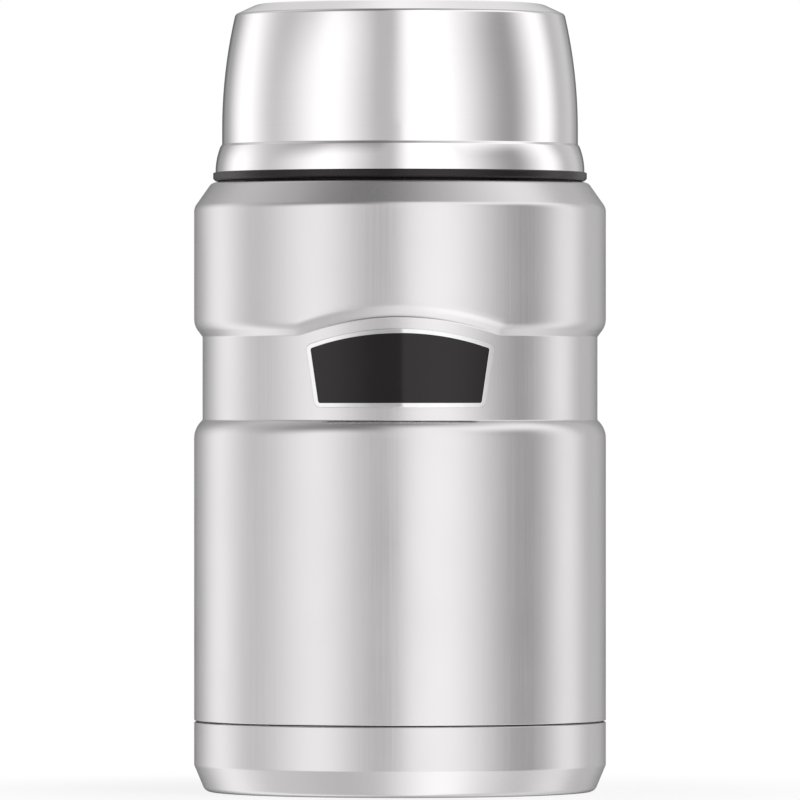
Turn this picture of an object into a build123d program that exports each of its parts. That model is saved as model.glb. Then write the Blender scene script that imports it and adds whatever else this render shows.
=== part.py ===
from build123d import *
import os
from math import atan2, sqrt, tan

# An insulated food jar: a vacuum steel body with a pressed waist band, a screw-in
# stopper, and a double-walled steel bowl that screws over the stopper as the lid.
# Millimetres, +Z up, origin at the centre of the foot, the badge at the front (-Y).
# Every outline below is drawn as (radius, height) and turned about the Z axis.

# ---- Clearances and sheet -----------------------------------------------------
STEEL = 0.6                # sheet of the jar's shells
BOWL_STEEL = 0.5           # sheet of the bowl's shells
SEAT_GAP = 0.3             # two pieces that meet but come apart
FIT_GAP = 0.05             # two pieces that are bonded or pressed together
CUT_OVERSHOOT = 1.0        # how far a cut runs past the face that it opens

# ---- Base cup -----------------------------------------------------------------
BODY_RADIUS = 51.5
FOOT_CORNER_RADIUS = 2.0
FOOT_TAPER_RADIUS = 1.5    # where the wall turns into the taper
FOOT_RECESS_RADIUS = 1.0
FOOT_TAPER_WIDTH = 2.8     # how far the foot draws in below the wall
FOOT_TAPER_HEIGHT = 6.7
FOOT_RING_WIDTH = 6.0      # flat ring that the jar stands on
FOOT_RECESS = 1.5          # the middle of the base stands this far off the table
BASE_CUP_HEIGHT = 17.45
SEAM_GAP = 0.35            # open line between the base cup and the outer shell

# ---- Outer shell --------------------------------------------------------------
WALL_TOP = 146.0           # where the wall turns into the shoulder
SHOULDER_RISE = 6.3
SHOULDER_RUN = 4.45
SHOULDER_TURN_RADIUS = 3.0
SHOULDER_EDGE_RADIUS = 1.9
WAIST_BOTTOM = 92.9        # crease of the lower lip
WAIST_HEIGHT = 20.8        # crease to crease
WAIST_DEPTH = 2.1
LOWER_LIP_HEIGHT = 4.8     # the rolled lips below and above the waist band
UPPER_LIP_HEIGHT = 4.4
ARCH_WIDTH = 49.4          # the waist band rises in an arch over the badge
ARCH_RISE = 4.4
SPIGOT_BOTTOM = 8.0        # the shell's lower end, inside the base cup
ADHESIVE_GAP = 0.6         # room for the adhesive between spigot and base cup
ADHESIVE_HEIGHT = 6.0
ADHESIVE_SETBACK = 1.0     # adhesive below the base cup's upper edge

# ---- Neck and mouth -----------------------------------------------------------
NECK_LEDGE = 7.65          # flat top of the shoulder, round the neck
NECK_HEIGHT = 4.1
NECK_VACUUM_GAP = 0.8      # between the two steel necks
MOUTH_EDGE_RADIUS = 0.5

# ---- Inner vessel -------------------------------------------------------------
VACUUM_GAP = 3.8           # between the waist band and the vessel
VESSEL_BOTTOM = 17.4
VESSEL_BOTTOM_RADIUS = 9.0
VESSEL_WALL_TOP = 136.0
VESSEL_SHOULDER_HEIGHT = 9.0
VESSEL_SHOULDER_RADIUS = 7.0

# ---- Vacuum pieces ------------------------------------------------------------
CLOSURE_FLANGE = 4.0       # upright rim of the bottom closure
DIMPLE_RADIUS = 9.0        # raised middle of the closure, round the pump-out hole
DIMPLE_RISE = 1.2
DIMPLE_SLOPE = 2.0
PUMP_HOLE_RADIUS = 1.0
SEAL_HEAD_RADIUS = 3.5
SEAL_HEAD_HEIGHT = 0.9
GETTER_RADIUS = 5.0
GETTER_HEIGHT = 2.5
GETTER_OFFSET = 22.0       # centre of the getter from the axis
FOIL_GAP = 0.2
FOIL_THICKNESS = 0.15
FOIL_MARGIN = 7.0          # bare vessel wall left below and above the foil

# ---- Badge --------------------------------------------------------------------
BADGE_TOP_WIDTH = 45.9     # at the upper corners
BADGE_BOTTOM_WIDTH = 41.4
BADGE_SIDE_HEIGHT = 14.8
BADGE_ARCH_RISE = 4.1
BADGE_CORNER_RADIUS = 1.7
BADGE_ABOVE_CREASE = 3.5   # from the lower crease to the badge
BADGE_PAD_THICKNESS = 0.2
BADGE_PLATE_THICKNESS = 0.5
BADGE_FRAME_WIDTH = 1.0
BADGE_FRAME_HEIGHT = 0.6   # frame above the plate
BADGE_INLAY_HEIGHT = 0.35  # inlay above the plate

# ---- Stopper ------------------------------------------------------------------
PLUG_CLEARANCE = 1.2       # plug to mouth, filled by the screw threads
PLUG_DEPTH = 22.0          # plug below the mouth's rim
PLUG_EDGE_RADIUS = 2.5
SEAL_THICKNESS = 1.2
SEAL_INSET = 0.5           # seal inside the barrel's edge
BOSS_INSET = 0.35          # upper barrel inside the neck's outer side
BOSS_HEIGHT = 10.5         # upper barrel that carries the bowl's thread
COLLAR_CLEARANCE = 1.2     # boss to the bowl's collar, filled by the threads
STOPPER_WALL = 2.0
CAP_THICKNESS = 2.4
CAP_STEP_HEIGHT = 1.2      # rim of the cap above the boss
CAP_EDGE_RADIUS = 0.8
CAP_DISH = 3.0             # sunk middle of the cap round the grip
GRIP_LENGTH = 58.0
GRIP_WIDTH = 13.0
GRIP_HEIGHT = 8.0          # grip above the cap's rim
GRIP_TAPER = 5.0           # degrees
GRIP_EDGE_RADIUS = 1.5

# ---- Bowl lid -----------------------------------------------------------------
RING_OVERHANG = 0.6        # soft ring outside the bowl's rim
RING_WIDTH = 4.0
RING_HEIGHT = 2.15
RING_UPPER_EDGE = 0.3
RING_LOWER_EDGE = 0.6
BOWL_RIM_DRAFT = 1.2       # how far the rim band draws in
BOWL_RIM_HEIGHT = 6.45
BOWL_STEP_HEIGHT = 0.65
BOWL_STEP_DEPTH = 0.45
BOWL_STRAIGHT_HEIGHT = 3.15
BOWL_CURVE_HEIGHT = 29.3   # the wall above, which curves inward
BOWL_CURVE_DRAFT = 3.3
BOWL_CROWN_WIDTH = 5.4     # sloping edge of the bowl's bottom, which faces up
BOWL_CROWN_HEIGHT = 2.5
BOWL_CORNER_RADIUS = 1.2
BOWL_CROWN_RADIUS = 14.0
BOWL_STEP_RADIUS = 0.3
BOWL_FLANGE_RADIUS = 0.6
BOWL_WALL_GAP = 1.0        # air between the bowl's two shells
COLLAR_INSET = 2.45        # collar above the bowl's rim
COLLAR_HEIGHT = 9.8
COLLAR_WALL = 2.2
COLLAR_CHAMFER = 0.6

# ---- Places worked out from the sizes above -------------------------------------
WAIST_RADIUS = BODY_RADIUS - WAIST_DEPTH
WAIST_TOP = WAIST_BOTTOM + WAIST_HEIGHT
SHELL_BOTTOM = BASE_CUP_HEIGHT + SEAM_GAP
SPIGOT_RADIUS = BODY_RADIUS - STEEL - ADHESIVE_GAP
SHOULDER_TOP = WALL_TOP + SHOULDER_RISE
SHOULDER_RADIUS = BODY_RADIUS - SHOULDER_RUN
NECK_RADIUS = SHOULDER_RADIUS - NECK_LEDGE
VESSEL_RADIUS = WAIST_RADIUS - STEEL - VACUUM_GAP
NECK_TOP = SHOULDER_TOP + NECK_HEIGHT
MOUTH_TOP = NECK_TOP + STEEL
MOUTH_RADIUS = NECK_RADIUS - 2 * STEEL - NECK_VACUUM_GAP
CLOSURE_HEIGHT = SPIGOT_BOTTOM + CLOSURE_FLANGE
CLOSURE_RADIUS = SPIGOT_RADIUS - STEEL - FIT_GAP
PLUG_RADIUS = MOUTH_RADIUS - PLUG_CLEARANCE
PLUG_BOTTOM = MOUTH_TOP - PLUG_DEPTH
BOSS_BOTTOM = MOUTH_TOP + SEAL_THICKNESS
BOSS_TOP = BOSS_BOTTOM + BOSS_HEIGHT
CAP_TOP = BOSS_TOP + CAP_STEP_HEIGHT
CAP_FLOOR = CAP_TOP - CAP_DISH
BOSS_RADIUS = NECK_RADIUS - BOSS_INSET
SEAL_RADIUS = BOSS_RADIUS - SEAL_INSET
COLLAR_INNER_RADIUS = BOSS_RADIUS + COLLAR_CLEARANCE
COLLAR_OUTER_RADIUS = COLLAR_INNER_RADIUS + COLLAR_WALL
BOWL_LINER_RADIUS = COLLAR_OUTER_RADIUS + FIT_GAP + BOWL_STEEL
BOWL_WALL_RADIUS = BOWL_LINER_RADIUS + BOWL_WALL_GAP + BOWL_STEEL
BOWL_RIM_RADIUS = BOWL_WALL_RADIUS + BOWL_STEP_DEPTH + BOWL_RIM_DRAFT
RING_RADIUS = BOWL_RIM_RADIUS + RING_OVERHANG
RING_BOTTOM = SHOULDER_TOP + SEAT_GAP
BOWL_BOTTOM = RING_BOTTOM + RING_HEIGHT
BOWL_STEP_BOTTOM = BOWL_BOTTOM + BOWL_RIM_HEIGHT
BOWL_WALL_BOTTOM = BOWL_STEP_BOTTOM + BOWL_STEP_HEIGHT
BOWL_CURVE_BOTTOM = BOWL_WALL_BOTTOM + BOWL_STRAIGHT_HEIGHT
BOWL_CURVE_TOP = BOWL_CURVE_BOTTOM + BOWL_CURVE_HEIGHT
BOWL_TOP = BOWL_CURVE_TOP + BOWL_CROWN_HEIGHT


def turned(section):
    """A (radius, height) section turned once about the Z axis."""
    return revolve(Plane.XZ * section, Axis.Z)


def pressed_sheet(outline, thickness):
    """A sheet turned from the line of its outer side, with the metal on the inner side."""
    section = make_face(offset(outline, amount=thickness, side=Side.RIGHT, closed=True))
    return turned(section)


def ring(inner, outer, bottom, top):
    """A plain ring, or a disc where the inner radius is zero."""
    section = Polyline((inner, bottom), (outer, bottom), (outer, top), (inner, top), close=True)
    return turned(make_face(section))


# ---- Outer shell --------------------------------------------------------------
def lip(inset, height, overshoot=0.0):
    """A rolled lip, from the crease at (waist radius, 0) up to where it is upright."""
    wall = BODY_RADIUS - inset + overshoot
    return TangentArc((wall, height), (WAIST_RADIUS - inset, 0), tangent=(0, -1))


def jar_form(inset):
    """The solid bounded by the shell's outer side, or by its inner side with an inset."""
    wall = BODY_RADIUS - inset
    waist = WAIST_RADIUS - inset
    shoulder = FilletPolyline(
        (wall, WAIST_TOP + UPPER_LIP_HEIGHT),
        (wall, WALL_TOP),
        (SHOULDER_RADIUS - inset, SHOULDER_TOP - inset),
        (0, SHOULDER_TOP - inset),
        radius=[SHOULDER_TURN_RADIUS, SHOULDER_EDGE_RADIUS],
    )
    upper_lip = Pos(0, WAIST_TOP) * lip(inset, UPPER_LIP_HEIGHT)
    lower_lip = Pos(0, WAIST_BOTTOM) * mirror(lip(inset, LOWER_LIP_HEIGHT), Plane.XZ)
    band = Line((waist, WAIST_TOP), (waist, WAIST_BOTTOM))
    lower_end = Polyline(
        (wall, WAIST_BOTTOM - LOWER_LIP_HEIGHT),
        (wall, SHELL_BOTTOM + inset),
        (SPIGOT_RADIUS - inset, SHELL_BOTTOM + inset),
        (SPIGOT_RADIUS - inset, SPIGOT_BOTTOM),
        (0, SPIGOT_BOTTOM),
        (0, SHOULDER_TOP - inset),
    )
    outline = [shoulder, upper_lip, band, lower_lip, lower_end]
    return turned(make_face(outline)) - arch_recess(inset)


def arch_recess(inset):
    """What the arch takes out of the wall above the band: its lip follows the arched crease."""
    waist = WAIST_RADIUS - inset
    arch_radius = (ARCH_WIDTH**2 / 4 + ARCH_RISE**2) / (2 * ARCH_RISE)
    run_out = 1.1 * ARCH_WIDTH / 2    # the cutter ends below the band's own crease
    steps = 12
    crease = []
    headings = []
    for step in range(steps + 1):
        x = run_out * (2 * step / steps - 1)
        depth = sqrt(waist**2 - x**2)
        height = sqrt(arch_radius**2 - x**2)
        crease.append((x, -depth, WAIST_TOP + ARCH_RISE - arch_radius + height))
        headings.append((1, x / depth, -x / height))
    path = Spline(*crease, tangents=[headings[0], headings[-1]])

    # The lip's section, carried on below the crease into the band. It is a little too
    # large, so that it crosses the wall at a small angle and doesn't just touch it.
    overshoot = 0.05
    under = 2.0
    beyond = BODY_RADIUS + CUT_OVERSHOOT
    section = make_face(
        [
            lip(inset, UPPER_LIP_HEIGHT, overshoot),
            Polyline(
                (waist, 0),
                (waist - under, -under),
                (waist - under, -ARCH_RISE),
                (beyond, -ARCH_RISE),
                (beyond, UPPER_LIP_HEIGHT),
                (BODY_RADIUS - inset + overshoot, UPPER_LIP_HEIGHT),
            ),
        ]
    )
    start = Vector(crease[0])
    outward = Vector(start.X, start.Y, 0).normalized()
    backward = outward.cross(Vector(0, 0, 1))
    upright = Plane(origin=(0, 0, start.Z), x_dir=outward, z_dir=backward)
    swept = sweep(upright * section, path=path, binormal=Pos(0, 0, BODY_RADIUS) * path)
    room_top = WAIST_TOP + ARCH_RISE + UPPER_LIP_HEIGHT + CUT_OVERSHOOT
    room = ring(waist, beyond, WAIST_TOP - CUT_OVERSHOOT, room_top)
    return swept & room


def make_outer_shell():
    """The jar's outer wall: spigot, wall, waist band and shoulder in one sheet."""
    shell = jar_form(0.0) - jar_form(STEEL)
    shell -= ring(0, SPIGOT_RADIUS - STEEL, SPIGOT_BOTTOM - CUT_OVERSHOOT, SPIGOT_BOTTOM + STEEL)
    shell -= ring(0, NECK_RADIUS + FIT_GAP, WALL_TOP, SHOULDER_TOP + CUT_OVERSHOOT)
    return shell


def make_outer_neck():
    """The outer neck, welded into the shoulder below and to the vessel's rim above."""
    return ring(NECK_RADIUS - STEEL, NECK_RADIUS, SHOULDER_TOP - STEEL, NECK_TOP)


# ---- Base ---------------------------------------------------------------------
def make_base_cup():
    """The steel cup over the jar's lower end, standing on a flat ring."""
    taper_foot = BODY_RADIUS - FOOT_TAPER_WIDTH
    slope = atan2(FOOT_TAPER_HEIGHT, FOOT_TAPER_WIDTH)
    corner_run = FOOT_CORNER_RADIUS * tan(slope / 2)    # what the rounded corner takes of the flat
    ring_inner = taper_foot - corner_run - FOOT_RING_WIDTH
    outline = FilletPolyline(
        (BODY_RADIUS, BASE_CUP_HEIGHT),
        (BODY_RADIUS, FOOT_TAPER_HEIGHT),
        (taper_foot, 0),
        (ring_inner, 0),
        (ring_inner - FOOT_RECESS, FOOT_RECESS),
        (0, FOOT_RECESS),
        radius=[FOOT_TAPER_RADIUS, FOOT_CORNER_RADIUS, FOOT_RECESS_RADIUS, FOOT_RECESS_RADIUS],
    )
    return pressed_sheet(outline, STEEL)


def make_base_adhesive():
    """The ring of adhesive between the shell's spigot and the base cup."""
    top = BASE_CUP_HEIGHT - ADHESIVE_SETBACK
    return ring(
        SPIGOT_RADIUS + FIT_GAP, BODY_RADIUS - STEEL - FIT_GAP, top - ADHESIVE_HEIGHT, top
    )


# ---- Vacuum space ---------------------------------------------------------------
def make_inner_vessel():
    """The food vessel: floor, wall, shoulder, inner neck and the rim over the outer neck."""
    outline = FilletPolyline(
        (NECK_RADIUS, MOUTH_TOP),
        (MOUTH_RADIUS, MOUTH_TOP),
        (MOUTH_RADIUS, VESSEL_WALL_TOP + VESSEL_SHOULDER_HEIGHT),
        (VESSEL_RADIUS - STEEL, VESSEL_WALL_TOP),
        (VESSEL_RADIUS - STEEL, VESSEL_BOTTOM + STEEL),
        (0, VESSEL_BOTTOM + STEEL),
        radius=[
            MOUTH_EDGE_RADIUS, VESSEL_SHOULDER_RADIUS, VESSEL_SHOULDER_RADIUS, VESSEL_BOTTOM_RADIUS
        ],
    )
    section = make_face(offset(outline, amount=STEEL, side=Side.LEFT, closed=True))
    return turned(section)


def make_bottom_closure():
    """The disc welded into the shell's lower end, with the pump-out hole in its dimple."""
    outline = Polyline(
        (CLOSURE_RADIUS, SPIGOT_BOTTOM),
        (CLOSURE_RADIUS, CLOSURE_HEIGHT),
        (DIMPLE_RADIUS + DIMPLE_SLOPE, CLOSURE_HEIGHT),
        (DIMPLE_RADIUS, CLOSURE_HEIGHT + DIMPLE_RISE),
        (0, CLOSURE_HEIGHT + DIMPLE_RISE),
    )
    section = make_face(
        offset(outline, amount=STEEL, side=Side.LEFT, kind=Kind.INTERSECTION, closed=True)
    )
    hole_top = CLOSURE_HEIGHT + DIMPLE_RISE + CUT_OVERSHOOT
    hole = ring(0, PUMP_HOLE_RADIUS, SPIGOT_BOTTOM, hole_top)
    return turned(section) - hole


def make_vacuum_seal():
    """The brazed stud that closes the pump-out hole from below."""
    plate_bottom = CLOSURE_HEIGHT + DIMPLE_RISE - STEEL
    head = ring(0, SEAL_HEAD_RADIUS, plate_bottom - SEAL_HEAD_HEIGHT, plate_bottom)
    stud = ring(0, PUMP_HOLE_RADIUS - FIT_GAP, plate_bottom, plate_bottom + STEEL)
    return head + stud


def make_getter():
    """The getter pellet that keeps the vacuum, on the closure's inner side."""
    return Pos(GETTER_OFFSET, 0, 0) * ring(
        0, GETTER_RADIUS, CLOSURE_HEIGHT, CLOSURE_HEIGHT + GETTER_HEIGHT
    )


def make_radiation_foil():
    """The foil sleeve round the inner vessel."""
    inner = VESSEL_RADIUS + FOIL_GAP
    bottom = VESSEL_BOTTOM + VESSEL_BOTTOM_RADIUS + FOIL_MARGIN - STEEL
    return ring(inner, inner + FOIL_THICKNESS, bottom, VESSEL_WALL_TOP - FOIL_MARGIN)


# ---- Badge --------------------------------------------------------------------
def badge_outline():
    """The badge seen from the front: a shield with an arched top, narrower at its foot."""
    side = BADGE_SIDE_HEIGHT
    sides_and_foot = Polyline(
        (-BADGE_TOP_WIDTH / 2, side),
        (-BADGE_BOTTOM_WIDTH / 2, 0),
        (BADGE_BOTTOM_WIDTH / 2, 0),
        (BADGE_TOP_WIDTH / 2, side),
    )
    top = ThreePointArc(
        (BADGE_TOP_WIDTH / 2, side), (0, side + BADGE_ARCH_RISE), (-BADGE_TOP_WIDTH / 2, side)
    )
    shield = make_face([sides_and_foot, top])
    return fillet(shield.vertices(), BADGE_CORNER_RADIUS)


def on_band(outline, inner, outer):
    """A front-view outline pushed through the part of the band between two radii."""
    bottom = WAIST_BOTTOM + BADGE_ABOVE_CREASE
    front = extrude(Plane.XZ * Pos(0, bottom) * outline, amount=BODY_RADIUS)
    layer = ring(inner, outer, WAIST_BOTTOM, WAIST_TOP + ARCH_RISE)
    return front & layer


PAD_OUTER = WAIST_RADIUS + FIT_GAP + BADGE_PAD_THICKNESS
PLATE_INNER = PAD_OUTER + FIT_GAP
PLATE_OUTER = PLATE_INNER + BADGE_PLATE_THICKNESS


def make_badge_pad():
    """The adhesive pad between the badge and the band."""
    pad = offset(badge_outline(), -BADGE_FRAME_WIDTH)
    return on_band(pad, WAIST_RADIUS + FIT_GAP, PAD_OUTER)


def make_badge_plate():
    """The plated badge, bent to the band, with its raised frame."""
    frame = badge_outline() - offset(badge_outline(), -BADGE_FRAME_WIDTH)
    plate = on_band(badge_outline(), PLATE_INNER, PLATE_OUTER)
    return plate + on_band(frame, PLATE_OUTER, PLATE_OUTER + BADGE_FRAME_HEIGHT)


def make_badge_inlay():
    """The bare dark field inside the badge's frame."""
    field = offset(badge_outline(), -BADGE_FRAME_WIDTH - FIT_GAP)
    return on_band(field, PLATE_OUTER + FIT_GAP, PLATE_OUTER + BADGE_INLAY_HEIGHT)


# ---- Stopper ------------------------------------------------------------------
def make_stopper_body():
    """The plug in the mouth and, above the rim, the barrel that the bowl screws on."""
    plug = Polyline(
        (0, PLUG_BOTTOM),
        (PLUG_RADIUS, PLUG_BOTTOM),
        (PLUG_RADIUS, BOSS_BOTTOM),
        (BOSS_RADIUS, BOSS_BOTTOM),
        (BOSS_RADIUS, BOSS_TOP),
        (0, BOSS_TOP),
        close=True,
    )
    section = make_face(plug)
    lower_corner = section.vertices().filter_by_position(Axis.Y, PLUG_BOTTOM, PLUG_BOTTOM)
    section = fillet(lower_corner.sort_by(Axis.X)[-1], PLUG_EDGE_RADIUS)
    hollow_bottom = PLUG_BOTTOM + STOPPER_WALL
    hollow = ring(0, PLUG_RADIUS - STOPPER_WALL, hollow_bottom, BOSS_TOP + CUT_OVERSHOOT)
    return turned(section) - hollow


def make_stopper_insulation():
    """The foam puck that fills the plug."""
    return ring(
        0,
        PLUG_RADIUS - STOPPER_WALL - FIT_GAP,
        PLUG_BOTTOM + STOPPER_WALL,
        CAP_FLOOR - CAP_THICKNESS - FIT_GAP,
    )


def make_stopper_cap():
    """The cap that closes the plug, with a sunk middle and a bar to turn it by."""
    spigot = PLUG_RADIUS - STOPPER_WALL - FIT_GAP
    well = spigot - STOPPER_WALL
    cap = ring(0, BOSS_RADIUS, BOSS_TOP, CAP_TOP)
    cap = fillet(cap.edges().group_by(Axis.Z)[-1], CAP_EDGE_RADIUS)
    cap += ring(0, spigot, CAP_FLOOR - CAP_THICKNESS, BOSS_TOP)
    cap -= ring(0, well, CAP_FLOOR, CAP_TOP + CUT_OVERSHOOT)
    return cap + make_grip(CAP_TOP + GRIP_HEIGHT)


def make_grip(top):
    """The bar across the cap, with round ends, drafted sides and an eased top edge."""
    foot = SlotOverall(GRIP_LENGTH, GRIP_WIDTH)
    bar = extrude(Pos(0, 0, CAP_FLOOR) * foot, amount=top - CAP_FLOOR, taper=GRIP_TAPER)
    return fillet(bar.faces().sort_by(Axis.Z)[-1].edges(), GRIP_EDGE_RADIUS)


def make_stopper_seal():
    """The sealing ring under the barrel, which the stopper presses on the jar's rim."""
    return ring(PLUG_RADIUS + SEAT_GAP, SEAL_RADIUS, MOUTH_TOP, BOSS_BOTTOM)


# ---- Bowl lid -----------------------------------------------------------------
def make_rim_ring():
    """The soft black ring that the bowl seats on, over the jar's shoulder."""
    inner = RING_RADIUS - RING_WIDTH
    section = make_face(
        Polyline(
            (inner, RING_BOTTOM),
            (RING_RADIUS, RING_BOTTOM),
            (RING_RADIUS, BOWL_BOTTOM),
            (inner, BOWL_BOTTOM),
            close=True,
        )
    )
    outer_corners = section.vertices().group_by(Axis.X)[-1].sort_by(Axis.Y)
    section = chamfer(outer_corners[0], RING_LOWER_EDGE)
    section = fillet(section.vertices().group_by(Axis.X)[-1].sort_by(Axis.Y)[-1], RING_UPPER_EDGE)
    return turned(section)


def bowl_section(outline, corner):
    """A bowl shell's section, with the corner between its wall and its crown rounded."""
    section = make_face(offset(outline, amount=BOWL_STEEL, side=Side.LEFT, closed=True))
    outer = section.vertices().sort_by_distance(corner)[0]
    section = fillet(outer, BOWL_CORNER_RADIUS)
    inner = (corner[0] - BOWL_STEEL, corner[1] - BOWL_STEEL)
    inner_corner = section.vertices().sort_by_distance(inner)[0]
    return fillet(inner_corner, BOWL_CORNER_RADIUS - BOWL_STEEL)


def make_bowl_outer():
    """The bowl's outer shell: rim band, step, inward-curving wall and crowned bottom."""
    draft = BOWL_CURVE_DRAFT
    corner = (BOWL_WALL_RADIUS - draft, BOWL_CURVE_TOP)
    skirt_top = (BOWL_RIM_RADIUS - BOWL_RIM_DRAFT, BOWL_STEP_BOTTOM)
    skirt = TangentArc((BOWL_RIM_RADIUS, BOWL_BOTTOM), skirt_top, tangent=(0, 1))
    step = FilletPolyline(
        skirt_top,
        (BOWL_WALL_RADIUS, BOWL_WALL_BOTTOM),
        (BOWL_WALL_RADIUS, BOWL_CURVE_BOTTOM),
        radius=[BOWL_STEP_RADIUS],
    )
    wall = TangentArc((BOWL_WALL_RADIUS, BOWL_CURVE_BOTTOM), corner, tangent=(0, 1))
    crown = FilletPolyline(
        corner,
        (corner[0] - BOWL_CROWN_WIDTH, BOWL_TOP),
        (0, BOWL_TOP),
        radius=[BOWL_CROWN_RADIUS],
    )
    outline = Wire([skirt, *step.edges(), wall, *crown.edges()])
    return turned(bowl_section(outline, corner))


def make_bowl_inner():
    """The bowl's inner shell, with the flange that closes the rim."""
    gap = BOWL_STEEL + BOWL_WALL_GAP
    top = BOWL_CURVE_TOP - gap / 2
    corner = (BOWL_LINER_RADIUS - BOWL_CURVE_DRAFT, top)
    rim = FilletPolyline(
        (BOWL_RIM_RADIUS - BOWL_STEEL - FIT_GAP, BOWL_BOTTOM + BOWL_STEEL),
        (BOWL_LINER_RADIUS, BOWL_BOTTOM + BOWL_STEEL),
        (BOWL_LINER_RADIUS, BOWL_CURVE_BOTTOM),
        radius=[BOWL_FLANGE_RADIUS],
    )
    wall = TangentArc((BOWL_LINER_RADIUS, BOWL_CURVE_BOTTOM), corner, tangent=(0, 1))
    crown = FilletPolyline(
        corner,
        (corner[0] - BOWL_CROWN_WIDTH, BOWL_TOP - gap),
        (0, BOWL_TOP - gap),
        radius=[BOWL_CROWN_RADIUS],
    )
    outline = Wire([*rim.edges(), wall, *crown.edges()])
    return turned(bowl_section(outline, corner))


def make_bowl_collar():
    """The threaded collar bonded inside the bowl's rim."""
    bottom = BOWL_BOTTOM + COLLAR_INSET
    collar = ring(COLLAR_INNER_RADIUS, COLLAR_OUTER_RADIUS, bottom, bottom + COLLAR_HEIGHT)
    lower_edges = collar.edges().filter_by(GeomType.CIRCLE).group_by(Axis.Z)[0]
    lead_in = lower_edges.sort_by(SortBy.RADIUS)[0]
    return chamfer(lead_in, COLLAR_CHAMFER)


NODES = {
    "outer_shell": make_outer_shell,
    "outer_neck": make_outer_neck,
    "base_cup": make_base_cup,
    "base_adhesive": make_base_adhesive,
    "inner_vessel": make_inner_vessel,
    "bottom_closure": make_bottom_closure,
    "vacuum_seal": make_vacuum_seal,
    "getter": make_getter,
    "radiation_foil": make_radiation_foil,
    "badge_pad": make_badge_pad,
    "badge_plate": make_badge_plate,
    "badge_inlay": make_badge_inlay,
    "stopper_body": make_stopper_body,
    "stopper_insulation": make_stopper_insulation,
    "stopper_cap": make_stopper_cap,
    "stopper_seal": make_stopper_seal,
    "rim_ring": make_rim_ring,
    "bowl_outer": make_bowl_outer,
    "bowl_inner": make_bowl_inner,
    "bowl_collar": make_bowl_collar,
}

os.makedirs("parts", exist_ok=True)
for name, make in NODES.items():
    solid = make()
    solid.label = name
    export_step(solid, f"parts/{name}.step")
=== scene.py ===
"""The looks of an insulated steel food jar with a bowl lid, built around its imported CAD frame.

Metres, +Z up, the badge at the front (-Y). Every turned piece is an outline of rounded
corners, swept about the Z axis, and every piece carries the normals of its true surface.
"""

import math
from collections import namedtuple

import bpy
import numpy as np
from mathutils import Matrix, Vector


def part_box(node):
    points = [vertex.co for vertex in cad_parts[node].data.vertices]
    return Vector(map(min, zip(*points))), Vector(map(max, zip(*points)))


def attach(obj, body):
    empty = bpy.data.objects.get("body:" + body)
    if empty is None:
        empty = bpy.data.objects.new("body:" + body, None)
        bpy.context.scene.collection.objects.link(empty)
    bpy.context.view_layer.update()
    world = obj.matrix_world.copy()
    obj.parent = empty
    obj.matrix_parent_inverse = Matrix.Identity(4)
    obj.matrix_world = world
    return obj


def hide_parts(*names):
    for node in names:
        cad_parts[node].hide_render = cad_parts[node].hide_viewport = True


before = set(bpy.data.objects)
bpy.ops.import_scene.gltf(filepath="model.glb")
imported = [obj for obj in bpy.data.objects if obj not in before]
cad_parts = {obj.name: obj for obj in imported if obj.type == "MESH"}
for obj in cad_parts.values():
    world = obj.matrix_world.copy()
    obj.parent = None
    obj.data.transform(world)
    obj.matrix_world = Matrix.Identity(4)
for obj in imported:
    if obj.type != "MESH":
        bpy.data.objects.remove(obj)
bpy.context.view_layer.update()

MM = 0.001
UP = np.array([0.0, 0.0, 1.0])


# ---- Sizes
def span(node):
    """(radius, lowest z, highest z) of a turned CAD node."""
    low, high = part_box(node)
    return high.x, low.z, high.z


STEEL = 0.6 * MM
BOWL_STEEL = 0.5 * MM
FIT_GAP = 0.05 * MM
SHEET_EDGE = 0.14 * MM              # rounding of a cut sheet edge
AS_LARGE_AS_FITS = 1.0              # a radius, in metres, that no outline has room for

BODY_RADIUS, SPIGOT_BOTTOM, SHOULDER_TOP = span("outer_shell")
SHELL_BOTTOM = 17.8 * MM
ADHESIVE_GAP = 0.6 * MM             # between the base cup's wall and the spigot in it
SPIGOT_RADIUS = BODY_RADIUS - STEEL - ADHESIVE_GAP
WAIST_BOTTOM = 92.9 * MM
WAIST_TOP = 113.7 * MM
WAIST_DEPTH = 2.1 * MM
WAIST_RADIUS = BODY_RADIUS - WAIST_DEPTH
LOWER_LIP_HEIGHT = 4.8 * MM
UPPER_LIP_HEIGHT = 4.4 * MM
UPPER_LIP_TILT = math.radians(37)   # how far the lip leans out of the wall at its crease
LOWER_LIP_TILT = math.radians(47)
CREASE_RADIUS = 0.6 * MM
ARCH_WIDTH = 49.4 * MM
ARCH_RISE = 4.4 * MM
ARCH_END_EASE = 0.3 * MM            # how softly the arch runs out into the straight crease
ARCH_LIMIT = 0.98                   # share of its circle's radius that the arch's curve uses
WALL_TOP = 146.0 * MM
SHOULDER_RADIUS = BODY_RADIUS - 4.45 * MM
SHOULDER_TURN_RADIUS = 3.0 * MM
SHOULDER_EDGE_RADIUS = 1.9 * MM
# How far a bend's corner shifts from the sheet's outer to its inner side, per thickness.
SHOULDER_TURN_SHIFT = 0.3
SHOULDER_EDGE_SHIFT = 0.4
BOWL_EDGE_SHIFT = 0.4
SEAM_EDGE_RADIUS = 0.3 * MM

NECK_RADIUS, NECK_BOTTOM, NECK_TOP = span("outer_neck")

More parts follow.
